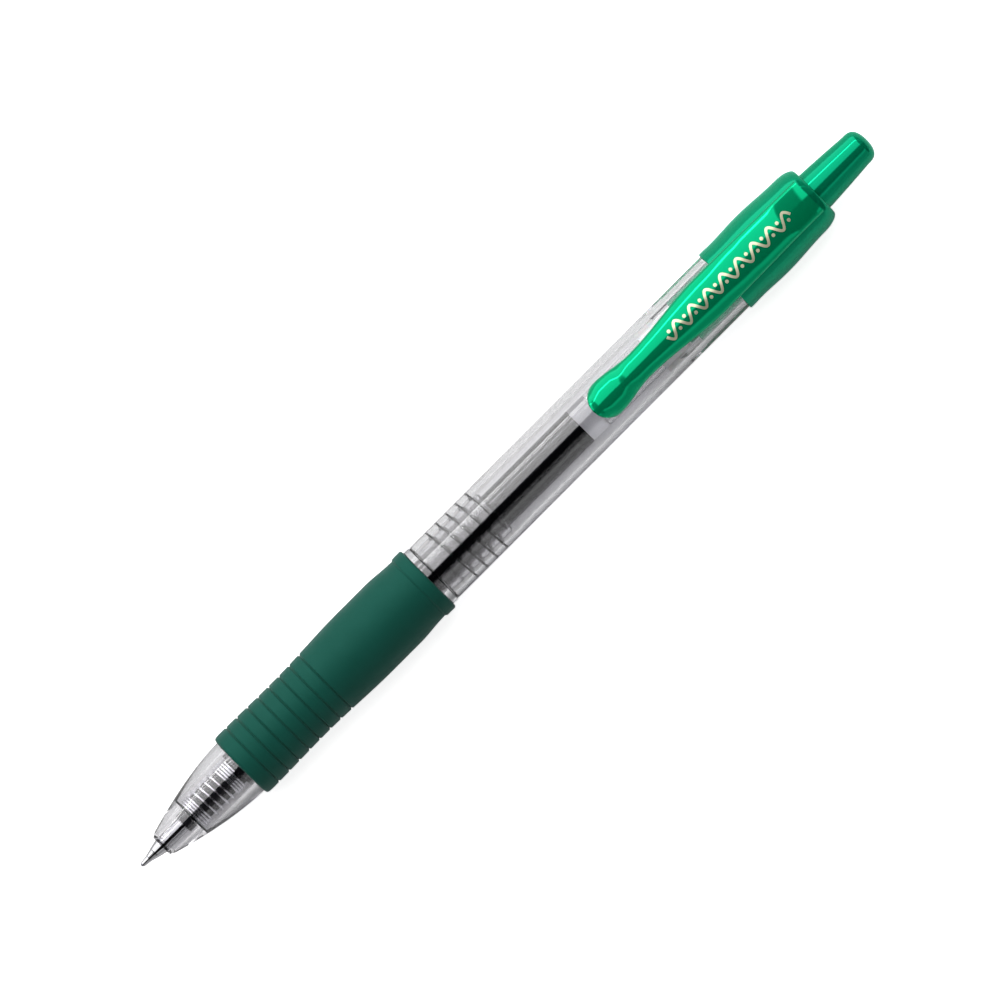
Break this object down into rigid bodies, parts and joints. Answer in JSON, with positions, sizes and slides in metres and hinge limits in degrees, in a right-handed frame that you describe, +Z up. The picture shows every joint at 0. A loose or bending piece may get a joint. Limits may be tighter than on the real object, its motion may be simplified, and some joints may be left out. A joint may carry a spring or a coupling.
{
  "type": "gel pen",
  "caption": "Retractable gel pen with clear barrels, ribbed rubber grip, green cap with pocket clip, push button, cam rotor, spring and refill.",
  "frame": {"origin": "on the surface the pen lies on, under the middle of its length, with the point out", "axes": "+X along the pen from the writing point to the push button, +Z up towards the clip, +Y across the pen"},
  "size_m": [0.1426, 0.0112, 0.0136],
  "materials": {
    "clear_plastic": "clear polished moulding",
    "green_rubber": "soft satin rubber, dark green",
    "green_plastic": "glossy green moulding",
    "natural_plastic": "milky uncoloured moulding",
    "spring_steel": "bright drawn wire",
    "tube_plastic": "clear extruded tube",
    "black_ink": "black gel ink",
    "follower_grease": "clear grease",
    "smoke_plastic": "dark grey moulding filled with ink",
    "point_metal": "turned and polished steel",
    "ball_metal": "ground hard-metal ball, wet with ink"
  },
  "bodies": {
    "barrel": {"front_barrel": "clear_plastic", "grip_sleeve": "green_rubber", "rear_barrel": "clear_plastic", "clip_cap": "green_plastic", "return_spring": "spring_steel"},
    "clip": {"clip_arm": "green_plastic"},
    "button": {"push_button": "green_plastic"},
    "refill": {"refill_tube": "tube_plastic", "ink_column": "black_ink", "grease_follower": "follower_grease", "tip_holder": "smoke_plastic", "metal_point": "point_metal", "writing_ball": "ball_metal"},
    "rotor": {"rotor_cam": "natural_plastic"}
  },
  "joints": [
    {"name": "refill_slide", "type": "slide", "parent": "barrel", "child": "refill", "axis": [1, 0, 0], "range_m": [-0.0012, 0.005], "deforming": ["return_spring"]},
    {"name": "button_slide", "type": "slide", "parent": "barrel", "child": "button", "axis": [1, 0, 0], "range_m": [-0.0012, 0.005]},
    {"name": "rotor_turn", "type": "hinge", "parent": "refill", "child": "rotor", "pos_m": [0.0315, 0, 0.00557], "axis": [1, 0, 0], "range_deg": [-10.8, 45]},
    {"name": "clip_flex", "type": "hinge", "parent": "barrel", "child": "clip", "pos_m": [0.0458, 0, 0.0135], "axis": [0, 1, 0], "range_deg": [0, 6], "stiffness_Nm_per_rad": 1.5}
  ],
  "couplings": [
    {"joint": "button_slide", "follows": "refill_slide", "ratio": 1},
    {"joint": "rotor_turn", "follows": "refill_slide", "rad_per_m": 157.08}
  ]
}
